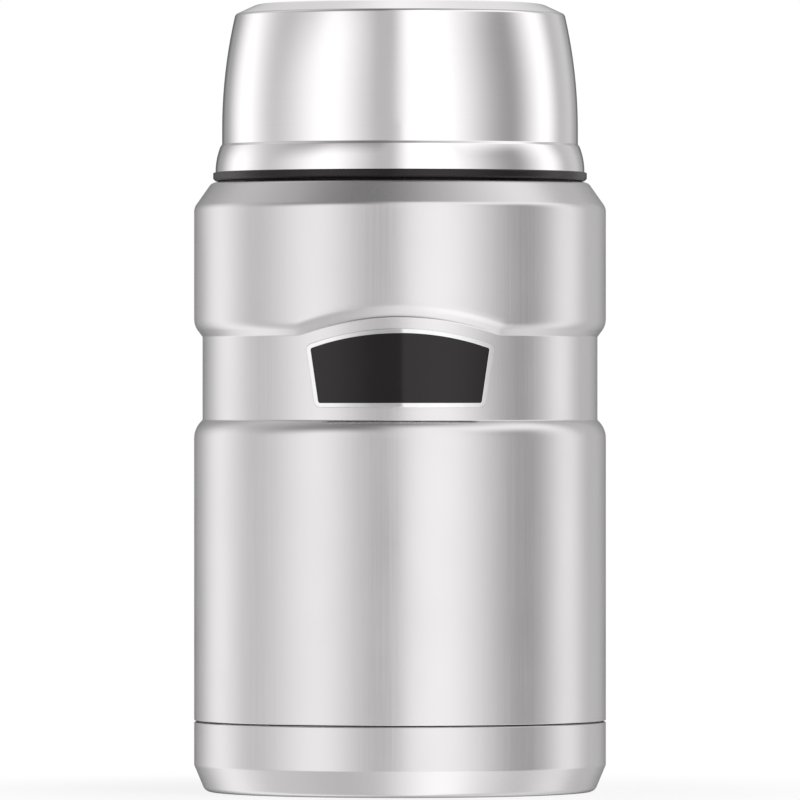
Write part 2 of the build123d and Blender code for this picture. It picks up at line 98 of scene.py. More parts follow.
BASE_TOP = span("base_cup")[2]
FOOT_TAPER_WIDTH = 2.8 * MM
FOOT_TAPER_HEIGHT = 6.7 * MM
FOOT_TAPER_RADIUS = 1.5 * MM
FOOT_CORNER_RADIUS = 2.0 * MM
FOOT_RING_INNER = 41.4 * MM
FOOT_RECESS = 1.5 * MM
FOOT_DISC_RADIUS = 30.0 * MM        # faint step pressed into the base's middle
FOOT_DISC_STEP = 0.5 * MM
FOOT_DISC_SLOPE = 1.0 * MM

VESSEL_RADIUS, VESSEL_BOTTOM, MOUTH_TOP = span("inner_vessel")
MOUTH_RADIUS = 37.4 * MM
VESSEL_WALL_TOP = 136.0 * MM
VESSEL_SHOULDER_TOP = VESSEL_WALL_TOP + 9.0 * MM
VESSEL_SHOULDER_BEND = 7.0 * MM
VESSEL_FOOT_BEND = 9.0 * MM
MOUTH_RIM_GAP = 0.01 * MM           # between the rim and the neck that it lies on

THREAD_LEAD = 12.0 * MM
THREAD_STARTS = 3
THREAD_BASE = 2.0 * MM
THREAD_CREST = 0.9 * MM
THREAD_HEIGHT = 0.85 * MM
THREAD_TAPER = math.radians(22)
THREAD_OFFSET = THREAD_LEAD / THREAD_STARTS / 2     # a thread runs midway between its mate's
MOUTH_THREAD_SWEEP = math.radians(120)
MOUTH_THREAD_BOTTOM = 148.9 * MM
BOWL_THREAD_SWEEP = math.radians(150)
BOWL_THREAD_BOTTOM = 159.1 * MM

PLUG_RADIUS = 36.2 * MM
BOSS_RADIUS, PLUG_BOTTOM, BOSS_TOP = span("stopper_body")
SEAL_RADIUS, SEAL_BOTTOM, SEAL_TOP = span("stopper_seal")
PLUG_EDGE_RADIUS = 2.5 * MM
PLUG_RECESS_RADIUS = 27.0 * MM      # shallow recess in the plug's underside
PLUG_RECESS = 0.6 * MM
GATE_RADIUS = 3.2 * MM              # sunk moulding mark in the recess's middle
GATE_DEPTH = 0.4 * MM
GRIP_TOP = span("stopper_cap")[2]
CAP_TOP = BOSS_TOP + 1.2 * MM
CAP_FLOOR = CAP_TOP - 3.0 * MM
CAP_WELL_RADIUS = 32.15 * MM
CAP_WELL_BEND = 1.2 * MM
CAP_WELL_SLOPE = 0.4 * MM
GRIP_LENGTH = 58.0 * MM
GRIP_WIDTH = 13.0 * MM
GRIP_DRAFT = math.radians(5)
GRIP_EDGE_RADIUS = 1.5 * MM
GRIP_ROOT_RADIUS = 0.8 * MM
GRIP_ROOT_STRIP = 1.5 * MM          # of the floor, round the bar's foot
SEAL_GAP = 0.3 * MM                 # between the plug and its sealing ring
SEAL_EDGE_RADIUS = 0.45 * MM

RING_RADIUS, RING_BOTTOM, RING_TOP = span("rim_ring")
RING_WIDTH = 4.0 * MM
RING_UPPER_EDGE = 0.3 * MM
RING_LOWER_EDGE = 0.6 * MM          # width and height of its bevel
RING_BEVEL_RADIUS = 0.25 * MM
RING_LIP_INSET = 2.0 * MM
RING_LIP_WIDTH = 0.8 * MM
RING_LIP_EDGE = 0.1 * MM

BOWL_RADIUS, BOWL_BOTTOM, BOWL_TOP = span("bowl_outer")
BOWL_RIM_DRAFT = 1.2 * MM
BOWL_STEP_BOTTOM = BOWL_BOTTOM + 6.45 * MM
BOWL_STEP_HEIGHT = 0.65 * MM
BOWL_STEP_WIDTH = 0.45 * MM
BOWL_STEP_EDGE = 0.5 * MM
BOWL_STEP_ROOT = 0.3 * MM
BOWL_RIM_EDGE = 0.12 * MM
BOWL_SKIRT_BEND = 30.0 * MM
BOWL_WALL_RADIUS = BOWL_RADIUS - BOWL_RIM_DRAFT - BOWL_STEP_WIDTH
BOWL_WALL_BOTTOM = BOWL_STEP_BOTTOM + BOWL_STEP_HEIGHT
BOWL_CURVE_BOTTOM = BOWL_WALL_BOTTOM + 3.15 * MM
BOWL_CURVE_TOP = BOWL_TOP - 2.5 * MM
BOWL_CURVE_DRAFT = 3.3 * MM
BOWL_CROWN_WIDTH = 5.4 * MM
BOWL_CORNER_RADIUS = 1.2 * MM
BOWL_CROWN_RADIUS = 4.0 * MM
BOWL_WALL_GAP = 1.0 * MM
BOWL_LINER_RADIUS = BOWL_WALL_RADIUS - BOWL_STEEL - BOWL_WALL_GAP
COLLAR_RADIUS, COLLAR_BOTTOM, COLLAR_TOP = span("bowl_collar")
COLLAR_WALL = 2.2 * MM
COLLAR_EDGE_RADIUS = 0.4 * MM
COLLAR_CHAMFER = 0.6 * MM

BADGE_BOTTOM = WAIST_BOTTOM + 3.15 * MM
BADGE_TOP_WIDTH = 46.6 * MM
BADGE_BOTTOM_WIDTH = 42.1 * MM
BADGE_SIDE_HEIGHT = 15.35 * MM
BADGE_ARCH_RISE = 4.1 * MM
BADGE_CORNER_RADIUS = 1.7 * MM
BADGE_PLATE_BACK = WAIST_RADIUS + 0.3 * MM
BADGE_PLATE_FACE = BADGE_PLATE_BACK + 0.5 * MM
BADGE_FRAME_WIDTH = 1.15 * MM
BADGE_FRAME_HEIGHT = 0.6 * MM
BADGE_FRAME_OUTER_EDGE = 0.2 * MM
BADGE_FRAME_INNER_EDGE = 0.12 * MM
BADGE_SHADED_BELOW = BADGE_PLATE_FACE + 0.1 * MM      # painted shade darkens the frame's side at its foot
BADGE_UNSHADED_ABOVE = BADGE_PLATE_FACE + 0.4 * MM
BADGE_FIELD_HEIGHT = 0.35 * MM
BADGE_FIELD_EDGE = 0.08 * MM
BADGE_LAND = 0.2 * MM               # flat strip between an edge and the filled middle
BADGE_STEP = 0.7 * MM               # spacing of the points along its outline
BADGE_ARCH_STEPS = 40
BADGE_ARCH_TRIM = 4                 # of those steps, left out at each end for the corner
BADGE_FILL_RINGS = 13


# ---- Outlines
# A corner has a radius, by default a cut edge's, and a share of the relief that moves it.
Corner = namedtuple("Corner", "r z radius share", defaults=(SHEET_EDGE, 0.0))
ARC_STEP = math.radians(10)
ARC_SAG = 0.008 * MM                # how far a chord may leave its arc
RUN_USE = 0.999                     # the most of a straight run that its ends' arcs take
SAME_HEADING = 0.999                # cosine between two headings that count as one


def left_of(heading):
    return np.array([-heading[1], heading[0]])


def arc_cuts(corners, headings, lengths, closed):
    """How much each corner's arc takes of the straight runs beside it, and each turn."""
    count = len(corners)
    cuts = np.zeros(count)
    turns = np.zeros(count)
    for i, corner in enumerate(corners):
        if not closed and i in (0, count - 1):
            continue
        before, after = headings[i - 1], headings[i]
        turns[i] = math.atan2(before[0] * after[1] - before[1] * after[0], before @ after)
        cuts[i] = corner.radius * math.tan(abs(turns[i]) / 2)
    for i in range(count if closed else count - 1):
        j = (i + 1) % count
        spare = RUN_USE * lengths[i] - cuts[i] - cuts[j]
        if spare < 0:
            larger = i if cuts[i] > cuts[j] else j
            cuts[larger] += spare
    return cuts, turns


def rounded(corners, closed=False):
    """Rows of (r, z, normal r, normal z, share) along an outline with rounded corners.

    The outside lies on the left of an outline. A radius that is too large for its place
    becomes the largest that fits.
    """
    places = np.array([(c.r, c.z) for c in corners])
    runs = np.roll(places, -1, axis=0) - places
    lengths = np.linalg.norm(runs, axis=1)
    headings = runs / lengths[:, None]
    cuts, turns = arc_cuts(corners, headings, lengths, closed)
    rows = []
    for i, corner in enumerate(corners):
        if cuts[i] <= 0:
            heading = headings[i] if i == 0 else headings[i - 1]
            rows.append((*places[i], *left_of(heading), corner.share))
            continue
        before = headings[i - 1]
        aside = math.copysign(1, turns[i]) * left_of(before)
        radius = cuts[i] / math.tan(abs(turns[i]) / 2)
        start = places[i] - before * cuts[i]
        step = min(ARC_STEP, math.sqrt(8 * ARC_SAG / radius))
        steps = max(2, math.ceil(abs(turns[i]) / step))
        for part in range(steps + 1):
            angle = abs(turns[i]) * part / steps
            heading = before * math.cos(angle) + aside * math.sin(angle)
            place = start + radius * (before * math.sin(angle) + aside * (1 - math.cos(angle)))
            rows.append((*place, *left_of(heading), corner.share))
    return np.array(rows)


# ---- Surfaces
class Surface:
    """The vertices, normals and faces of one piece, gathered before its mesh is made."""

    def __init__(self):
        self.places = []
        self.normals = []
        self.faces = []

    def add(self, places, normals):
        """Adds vertices and returns the index of the first."""
        first = len(self.places)
        self.places.extend(np.reshape(places, (-1, 3)).tolist())
        self.normals.extend(np.reshape(normals, (-1, 3)).tolist())
        return first

    def grid(self, places, normals, wrap_rows=False):
        """Quads between rows along an outline, outside on the left, and columns all round."""
        rows, columns = places.shape[:2]
        first = self.add(places, normals)
        index = first + np.arange(rows * columns).reshape(rows, columns)
        below = np.roll(index, -1, axis=0)
        quads = np.stack([index, below, np.roll(below, -1, 1), np.roll(index, -1, 1)], axis=-1)
        quads = quads[: rows if wrap_rows else rows - 1]
        self.faces.extend(quads.reshape(-1, 4).tolist())
        return index

    def close(self, ring, place, normal, outward):
        """A fan of triangles from a ring of vertices to one point."""
        tip = self.add([place], [normal])
        ahead = np.roll(ring, -1)
        for a, b in zip(ring.tolist(), ahead.tolist()):
            self.faces.append((a, tip, b) if outward else (b, tip, a))


COLUMNS = 216                       # round a turned piece


def circle(columns=COLUMNS):
    """Angles all round."""
    return np.arange(columns) * 2 * math.pi / columns


def compass(angles):
    """Unit vectors outward and along the turn at each angle."""
    flat = 0 * angles
    outward = np.stack([np.cos(angles), np.sin(angles), flat], axis=-1)
    along = np.stack([-np.sin(angles), np.cos(angles), flat], axis=-1)
    return outward, along


def unit(vectors):
    return vectors / np.linalg.norm(vectors, axis=-1, keepdims=True)


def refined(profile, step):
    """More rows where a straight run's two ends both take all of a relief."""
    rows = []
    for row, after in zip(profile, np.roll(profile, -1, axis=0)):
        rows.append(row)
        length = math.hypot(*(after - row)[0:2])
        straight = row[2:4] @ after[2:4] > SAME_HEADING
        if row[4] == after[4] == 1.0 and length > 2 * step and straight:
            count = math.ceil(length / step)
            rows += [row + (after - row) * i / count for i in range(1, count)]
    return np.array(rows)


# A relief moves a surface by reach(angles, z), in metres, along a direction in (r, z).
Relief = namedtuple("Relief", "direction reach")
RELIEF_STEP = 0.22 * MM             # between the rows that a relief moves
SLOPE_STEP = 0.01 * MM              # over which a relief's slope is taken


def turned(corners, closed=False, angles=None, relief=None):
    """An outline turned about the Z axis, moved by the relief where the outline has a share."""
    angles = circle() if angles is None else angles
    profile = rounded(corners, closed)
    outward, along = compass(angles)
    if relief and relief.direction[0]:
        profile = refined(profile, RELIEF_STEP)
    starts_on_axis = not closed and profile[0, 0] == 0
    ends_on_axis = not closed and profile[-1, 0] == 0
    body = profile[int(starts_on_axis) : len(profile) - int(ends_on_axis), None]
    r, z, nr, nz, share = (body[..., i] + 0 * angles for i in range(5))
    normals = nr[..., None] * outward + nz[..., None] * UP
    if relief:
        dr, dz = relief.direction
        turn = SLOPE_STEP / BODY_RADIUS
        ahead, behind = relief.reach(angles + turn, z), relief.reach(angles - turn, z)
        above, below = relief.reach(angles, z + SLOPE_STEP), relief.reach(angles, z - SLOPE_STEP)
        lean = share * (nr * dr + nz * dz) / (2 * SLOPE_STEP)
        normals -= (lean * (ahead - behind) * BODY_RADIUS / r)[..., None] * along
        normals -= (lean * dr * (above - below))[..., None] * UP
        shift = share * relief.reach(angles, z)
        r, z = r + dr * shift, z + dz * shift
    places = r[..., None] * outward + z[..., None] * UP
    surface = Surface()
    index = surface.grid(places, unit(normals), wrap_rows=closed)
    if starts_on_axis:
        surface.close(index[0], profile[0, 1] * UP, profile[0, 3] * UP, False)
    if ends_on_axis:
        surface.close(index[-1], profile[-1, 1] * UP, profile[-1, 3] * UP, True)
    return surface


def eased(value, low, high):
    """0 below low, 1 above high, smooth between."""
    t = np.clip((value - low) / (high - low), 0, 1)
    return t * t * (3 - 2 * t)


def thread(height, first_z, sweep):
    """A right-hand thread of several starts, each over a sweep of angle, as a relief."""
    def reach(angles, z):
        ridge = 0.0
        for start in range(THREAD_STARTS):
            turn = (angles - start * 2 * math.pi / THREAD_STARTS) % (2 * math.pi)
            off = np.abs(z - first_z - THREAD_LEAD * turn / (2 * math.pi))
            flank = 1 - eased(off, THREAD_CREST / 2, THREAD_BASE / 2)
            end = eased(np.minimum(turn, sweep - turn), 0, THREAD_TAPER)
            ridge = np.maximum(ridge, flank * end)
        return height * ridge

    return Relief((1, 0), reach)


def add_object(name, data):
    """Adds an object to the scene."""
    item = bpy.data.objects.new(name, data)
    bpy.context.scene.collection.objects.link(item)
    return item


def make_piece(name, body, slot, surface, material, *nodes):
    """A mesh object that rides on a body and stands for the CAD nodes that are named."""
    mesh = bpy.data.meshes.new(name)
    mesh.from_pydata(surface.places, [], surface.faces)
    mesh.shade_smooth()
    mesh.normals_split_custom_set_from_vertices(surface.normals)
    mesh.materials.append(material)
    item = add_object(name, mesh)
    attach(item, body)
    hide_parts(*nodes)


# ---- Materials
class Nodes:
    """A material's node tree, with a Principled shader and short ways to add to it."""

    def __init__(self, name):
        self.material = bpy.data.materials.new(name)
        self.material.use_nodes = True
        self.tree = self.material.node_tree
        self.shader = self.tree.nodes["Principled BSDF"]
        self.place = self.add("ShaderNodeTexCoord").outputs["Object"]

    def add(self, kind, **settings):
        node = self.tree.nodes.new(kind)
        for name, value in settings.items():
            setattr(node, name, value)
        return node

    def link(self, source, target):
        if isinstance(source, bpy.types.NodeSocket):
            self.tree.links.new(source, target)
        else:
            target.default_value = source

    def maths(self, operation, *values):
        node = self.add("ShaderNodeMath", operation=operation)
        for value, target in zip(values, node.inputs):
            self.link(value, target)
        return node.outputs[0]

    def mixed(self, share, first, second):
        """Two shaders, with the second's share."""
        node = self.add("ShaderNodeMixShader")
        self.link(share, node.inputs["Fac"])
        self.link(first, node.inputs[1])
        self.link(second, node.inputs[2])
        return node.outputs[0]

    def scaled(self, vector, scale):
        """A vector times (x, y, z)."""
        node = self.add("ShaderNodeVectorMath", operation="MULTIPLY")
        self.link(vector, node.inputs[0])
        node.inputs[1].default_value = scale
        return node.outputs[0]

    def noise(self, vector, scale, detail=2.0, roughness=0.5, w=None):
        node = self.add("ShaderNodeTexNoise", noise_dimensions="4D" if w else "3D")
        self.link(vector, node.inputs["Vector"])
        node.inputs["Scale"].default_value = scale
        node.inputs["Detail"].default_value = detail
        node.inputs["Roughness"].default_value = roughness
        if w:
            self.link(w, node.inputs["W"])
        return node.outputs["Fac"]

    def between(self, value, low, high, span=(0.3, 0.7), **settings):
        """A value in a span, by default the noise's, carried to the range low to high."""
        node = self.add("ShaderNodeMapRange", **settings)
        self.link(value, node.inputs["Value"])
        node.inputs["From Min"].default_value = span[0]
        node.inputs["From Max"].default_value = span[1]
        node.inputs["To Min"].default_value = low
        node.inputs["To Max"].default_value = high
        return node.outputs["Result"]

    def colours(self, value, *stops):
        """A colour ramp of (position, (red, green, blue)) stops."""
        ramp = self.add("ShaderNodeValToRGB")
        self.link(value, ramp.inputs["Fac"])
        elements = ramp.color_ramp.elements
        while len(elements) < len(stops):
            elements.new(0.5)
        for element, (position, colour) in zip(elements, stops):
            element.position = position
            element.color = (*colour, 1)
        return ramp.outputs["Color"]

    def bump(self, height, strength, distance):
        node = self.add("ShaderNodeBump")
        node.inputs["Strength"].default_value = strength
        node.inputs["Distance"].default_value = distance
        self.link(height, node.inputs["Height"])
        return node.outputs["Normal"]

    def set(self, **values):
        """Values or sources for the shader's inputs, with spaces as underscores."""
        for name, value in values.items():
            self.link(value, self.shader.inputs[name.replace("_", " ")])

    def show(self, shader):
        """Makes another shader the material's surface."""
        self.link(shader, self.tree.nodes["Material Output"].inputs["Surface"])

    def radius(self):
        """Distance from the Z axis."""
        flat = self.scaled(self.place, (1, 1, 0))
        node = self.add("ShaderNodeVectorMath", operation="LENGTH")
        self.link(flat, node.inputs[0])
        return node.outputs["Value"]


def tinted(colour, factor):
    return tuple(channel * factor for channel in colour)


def steel(name, colour, roughness, anisotropy, lines, relief):
    """Stainless steel under the fine scratches of its finish, with faint smudges.

    The colour and the roughness follow lines, a texture of the scratches.
    """
    n = Nodes(name)
    lines = lines(n)
    broad = n.noise(n.scaled(n.place, (60, 60, 25)), 1.0, detail=3.0)
    smudge = n.noise(n.place, 38.0, detail=4.0, roughness=0.6)
    shade = n.maths("ADD", n.maths("MULTIPLY", lines, 0.5), n.maths("MULTIPLY", broad, 0.5))
    tone = n.colours(shade, (0.3, tinted(colour, 0.975)), (0.7, tinted(colour, 1.015)))
    sheen = n.maths("ADD", n.between(lines, -0.02, 0.02), n.between(smudge, -0.015, 0.02))
    tangent = n.add("ShaderNodeTangent", direction_type="RADIAL", axis="Z")
    n.set(
        Base_Color=tone,
        Metallic=1.0,
        Roughness=n.maths("ADD", sheen, roughness),
        Anisotropic=anisotropy,
        Tangent=tangent.outputs["Tangent"],
        Normal=n.bump(lines, relief, 0.02 * MM),
    )
    return n.material


def turned_lines(grain):
    """Rings that polishing on a lathe leaves."""
    def lines(n):
        ring = n.maths("MULTIPLY", n.radius(), grain)
        return n.noise(n.scaled(n.place, (14, 14, grain)), 1.0, detail=3.0, roughness=0.65, w=ring)

    return lines


def brushed_lines(grain):
    """Strokes along the Z axis."""
    def lines(n):
        return n.noise(n.scaled(n.place, (grain, grain, 22)), 1.0, detail=3.0, roughness=0.6)

    return lines


def moulded(name, dark, light, roughness, grain, relief, specular=0.5):
    """Moulded plastic or rubber: a fine pebbled skin with slight mottling."""
    n = Nodes(name)
    pebble = n.noise(n.place, grain, detail=3.0, roughness=0.6)
    mottle = n.noise(n.place, 90.0, detail=3.0)
    mixed = n.maths("ADD", n.maths("MULTIPLY", pebble, 0.4), n.maths("MULTIPLY", mottle, 0.6))
    n.set(
        Base_Color=n.colours(mixed, (0.3, dark), (0.7, light)),
        Roughness=n.between(mottle, roughness - 0.05, roughness + 0.05),
        Specular_IOR_Level=specular,
        Normal=n.bump(pebble, relief, 0.03 * MM),
    )
    return n.material


def plated(name, shaded_below, unshaded_above):
    """Bright plating with a trace of polishing haze, and painted shade that darkens it to grey
    towards its foot.

    Both limits are distances from the Z axis.
    """
    n = Nodes(name)
    haze = n.noise(n.place, 260.0, detail=4.0, roughness=0.6)
    # Painted shade: the colour falls to dark grey towards the foot, where the frame meets the
    # band.
    unshaded = n.between(n.radius(), 0.0, 1.0, (shaded_below, unshaded_above))
    tone = n.colours(
        n.maths("MULTIPLY", haze, unshaded),
        (0.0, (0.30, 0.30, 0.30)), (0.3, (0.80, 0.80, 0.81)), (0.7, (0.86, 0.86, 0.87)),
    )
    n.set(
        Base_Color=tone,
        Metallic=1.0,
        Roughness=n.between(haze, 0.045, 0.09),
        Normal=n.bump(haze, 0.06, 0.02 * MM),
    )
    return n.material


def enamel(name):
    """The badge's dark field: satin lacquer with slight orange peel."""
    n = Nodes(name)
    peel = n.noise(n.place, 900.0, detail=2.0)
    cloud = n.noise(n.place, 120.0, detail=3.0)
    dark, light = (0.0050, 0.0024, 0.0034), (0.0070, 0.0042, 0.0052)
    n.set(
        Base_Color=n.colours(cloud, (0.3, dark), (0.7, light)),
        Roughness=n.between(peel, 0.07, 0.11),
        Specular_IOR_Level=0.4,
        Normal=n.bump(peel, 0.04, 0.02 * MM),
    )
    return n.material


def foam(name):
    """Open-cell insulation."""
    n = Nodes(name)
    cells = n.add("ShaderNodeTexVoronoi", feature="DISTANCE_TO_EDGE")
    n.link(n.place, cells.inputs["Vector"])
    cells.inputs["Scale"].default_value = 900.0
    cloud = n.noise(n.place, 80.0, detail=3.0)
    n.set(
        Base_Color=n.colours(cloud, (0.3, (0.70, 0.62, 0.44)), (0.7, (0.84, 0.77, 0.60))),
        Roughness=n.between(cloud, 0.85, 0.95),
        Normal=n.bump(cells.outputs["Distance"], 0.7, 0.3 * MM),
    )
    return n.material


def crinkled_foil(name):
    """Bright foil with creases that run along the Z axis."""
    n = Nodes(name)
    folds = n.add("ShaderNodeTexVoronoi", feature="F1", distance="MANHATTAN")
    n.link(n.scaled(n.place, (180, 180, 60)), folds.inputs["Vector"])
    folds.inputs["Scale"].default_value = 1.0
    haze = n.noise(n.place, 400.0, detail=3.0)
    n.set(
        Base_Color=n.colours(haze, (0.3, (0.80, 0.80, 0.81)), (0.7, (0.90, 0.90, 0.91))),
        Metallic=1.0,
        Roughness=n.between(haze, 0.16, 0.28),
        Normal=n.bump(folds.outputs["Distance"], 0.35, 0.3 * MM),
    )
    return n.material


def grainy_metal(name, dark, light, roughness, grain, relief):
    """Sintered, cast or brazed metal."""
    n = Nodes(name)
    grains = n.noise(n.place, grain, detail=4.0, roughness=0.7)
    n.set(
        Base_Color=n.colours(grains, (0.3, dark), (0.7, light)),
        Metallic=1.0,
        Roughness=n.between(grains, roughness - 0.08, roughness + 0.08),
        Normal=n.bump(grains, relief, 0.1 * MM),
    )
    return n.material


STEEL_COLOUR = (0.765, 0.746, 0.753)
BOWL_COLOUR = (0.948, 0.926, 0.934)
VESSEL_COLOUR = (0.735, 0.717, 0.723)

jar_steel = steel("jar_steel", STEEL_COLOUR, 0.22, 0.7, brushed_lines(2600.0), 0.04)
bowl_steel = steel("bowl_steel", BOWL_COLOUR, 0.12, 0.0, turned_lines(6500.0), 0.03)
vessel_steel = steel("vessel_steel", VESSEL_COLOUR, 0.24, 0.0, turned_lines(3800.0), 0.12)
chrome = plated("badge_chrome", BADGE_SHADED_BELOW, BADGE_UNSHADED_ABOVE)
badge_black = enamel("badge_black")
stopper_black = moulded("stopper_black", (0.018,) * 3, (0.030,) * 3, 0.48, 2600.0, 0.30)
ring_black = moulded(
    "ring_black", (0.0075, 0.0045, 0.0050), (0.0125, 0.0090, 0.0095), 0.26, 1800.0, 0.05, 0.36
)
seal_grey = moulded("seal_grey", (0.30, 0.30, 0.31), (0.38, 0.38, 0.39), 0.62, 1500.0, 0.20)
foam_skin = foam("foam")
foil = crinkled_foil("foil")
getter_grey = grainy_metal("getter_grey", (0.25,) * 3, (0.42,) * 3, 0.6, 1500.0, 0.6)
braze = grainy_metal("braze", (0.55, 0.42, 0.22), (0.78, 0.64, 0.38), 0.4, 700.0, 0.4)
adhesive = moulded("adhesive", (0.42, 0.38, 0.30), (0.55, 0.51, 0.43), 0.5, 500.0, 0.4)


# ---- Jar
def arch_rise(angles, z):
    """How far the arch over the badge lifts the upper crease at each angle, at any z."""
    radius = (ARCH_WIDTH**2 / 4 + ARCH_RISE**2) / (2 * ARCH_RISE)
    across = WAIST_RADIUS * np.cos(angles)
    front = np.sin(angles) < 0
    reach = np.minimum(np.abs(across), ARCH_LIMIT * radius)
    chord = np.sqrt(radius**2 - ARCH_WIDTH**2 / 4)
    arch = np.where(front, np.sqrt(radius**2 - reach**2) - chord, -ARCH_WIDTH)
    lift = (arch + np.sqrt(arch**2 + ARCH_END_EASE**2)) / 2
    return np.where(front, lift, 0.0)


def lip_corner(wall, crease, height, tilt, share=0.0):
    """The corner that rolls the wall into a lip, over a height from its crease.

    A height below zero makes a lip under its crease.
    """
    reach = WAIST_DEPTH / math.tan(tilt)
    radius = (abs(height) - reach) / math.tan(tilt / 2)
    return Corner(wall, crease + math.copysign(reach, height), radius, share)


def shell_corners(inset):
    """The outer shell's side from the shoulder's inner edge down to the spigot's end."""
    wall = BODY_RADIUS - inset
    waist = WAIST_RADIUS - inset
    spigot = SPIGOT_RADIUS - inset
    shoulder = SHOULDER_RADIUS - SHOULDER_EDGE_SHIFT * inset
    seam = SEAM_EDGE_RADIUS
    return [
        Corner(NECK_RADIUS + FIT_GAP, SHOULDER_TOP - inset),
        Corner(shoulder, SHOULDER_TOP - inset, SHOULDER_EDGE_RADIUS - inset),
        Corner(wall, WALL_TOP - SHOULDER_TURN_SHIFT * inset, SHOULDER_TURN_RADIUS - inset),
        lip_corner(wall, WAIST_TOP, UPPER_LIP_HEIGHT, UPPER_LIP_TILT, 1.0),
        Corner(waist, WAIST_TOP, CREASE_RADIUS, 1.0),
        Corner(waist, WAIST_BOTTOM, CREASE_RADIUS),
        lip_corner(wall, WAIST_BOTTOM, -LOWER_LIP_HEIGHT, LOWER_LIP_TILT),
        Corner(wall, SHELL_BOTTOM + inset, seam),
        Corner(spigot, SHELL_BOTTOM + inset, seam),
        Corner(spigot, SPIGOT_BOTTOM),
    ]


HALF_FRONT = math.radians(38)       # each side of the middle, across the arch and the badge
SHELL_COLUMNS = 150                 # across the front, and as many round the rest


def front_weighted_angles():
    """Angles all round, closer together across the arch and the badge."""
    front = np.linspace(-HALF_FRONT, HALF_FRONT, SHELL_COLUMNS, endpoint=False)
    back = np.linspace(HALF_FRONT, 2 * math.pi - HALF_FRONT, SHELL_COLUMNS, endpoint=False)
    return np.concatenate([front, back]) - math.pi / 2


def make_shell():
    """The outer shell, whose upper lip follows the arched crease over the badge."""
    corners = shell_corners(0.0) + shell_corners(STEEL)[::-1]
    surface = turned(corners, True, front_weighted_angles(), Relief((0, 1), arch_rise))
    make_piece("jar_shell", "jar", "jar_steel", surface, jar_steel, "outer_shell")


def make_base():
    """The base cup, with its tapered foot and the recessed underside."""
    wall = BODY_RADIUS
    foot = BODY_RADIUS - FOOT_TAPER_WIDTH
    recess = FOOT_RING_INNER - FOOT_RECESS
    disc_z = FOOT_RECESS + FOOT_DISC_STEP
    disc = FOOT_DISC_RADIUS
    inner_wall = wall - STEEL
    inner_foot = foot - STEEL / 2
    shift = STEEL / 2                   # between a bend's corners on the sheet's two sides
    under_disc = disc + 0.2 * MM        # the step's edge on the underside
    corners = [
        Corner(0.0, disc_z + STEEL),
        Corner(disc, disc_z + STEEL, 0.6 * MM),
        Corner(disc + FOOT_DISC_SLOPE, FOOT_RECESS + STEEL, 0.6 * MM),
        Corner(recess - shift, FOOT_RECESS + STEEL, 1.0 * MM),
        Corner(FOOT_RING_INNER - shift, STEEL, 0.6 * MM),
        Corner(inner_foot, STEEL, 1.2 * MM),
        Corner(inner_wall, FOOT_TAPER_HEIGHT, FOOT_TAPER_RADIUS),
        Corner(inner_wall, BASE_TOP),
        Corner(wall, BASE_TOP, 0.25 * MM),
        Corner(wall, FOOT_TAPER_HEIGHT, FOOT_TAPER_RADIUS),
        Corner(foot, 0.0, FOOT_CORNER_RADIUS),
        Corner(FOOT_RING_INNER, 0.0, 0.8 * MM),
        Corner(recess, FOOT_RECESS, 0.8 * MM),
        Corner(under_disc + FOOT_DISC_SLOPE, FOOT_RECESS, 0.7 * MM),
        Corner(under_disc, disc_z, 0.7 * MM),
        Corner(0.0, disc_z),
    ]
    make_piece("jar_base", "jar", "jar_steel", turned(corners), jar_steel, "base_cup")


def make_neck():
    """The plain outer neck round the mouth."""
    inner = NECK_RADIUS - STEEL
    corners = [
        Corner(inner, NECK_TOP, 0.05 * MM),
        Corner(NECK_RADIUS, NECK_TOP, 0.05 * MM),
        Corner(NECK_RADIUS, NECK_BOTTOM),
        Corner(inner, NECK_BOTTOM),
    ]
    surface = turned(corners, closed=True)
    make_piece("jar_neck", "jar", "vessel_steel", surface, vessel_steel, "outer_neck")


def make_vessel():
    """The food vessel, with its rolled rim and the pressed thread in the mouth."""
    def side(inset):
        """Its inner side, or its outer side with an inset."""
        wall = VESSEL_RADIUS - STEEL + inset
        mouth = MOUTH_RADIUS + inset
        return [
            Corner(mouth, VESSEL_SHOULDER_TOP, VESSEL_SHOULDER_BEND, 1.0),
            Corner(wall, VESSEL_WALL_TOP, VESSEL_SHOULDER_BEND),
            Corner(wall, VESSEL_BOTTOM + STEEL - inset, VESSEL_FOOT_BEND),
            Corner(0.0, VESSEL_BOTTOM + STEEL - inset),
        ]

    under_rim = MOUTH_TOP - STEEL + MOUTH_RIM_GAP
    rim = [
        Corner(NECK_RADIUS, MOUTH_TOP, 0.25 * MM),
        Corner(NECK_RADIUS, under_rim),
        Corner(MOUTH_RADIUS + STEEL, under_rim, 0.3 * MM, 1.0),
    ]
    mouth = Corner(MOUTH_RADIUS, MOUTH_TOP, 0.5 * MM, 1.0)
    corners = side(0.0)[::-1] + [mouth] + rim + side(STEEL)
    ridges = thread(-THREAD_HEIGHT, MOUTH_THREAD_BOTTOM, MOUTH_THREAD_SWEEP)
    surface = turned(corners, relief=ridges)
    make_piece("jar_vessel", "jar", "vessel_steel", surface, vessel_steel, "inner_vessel")


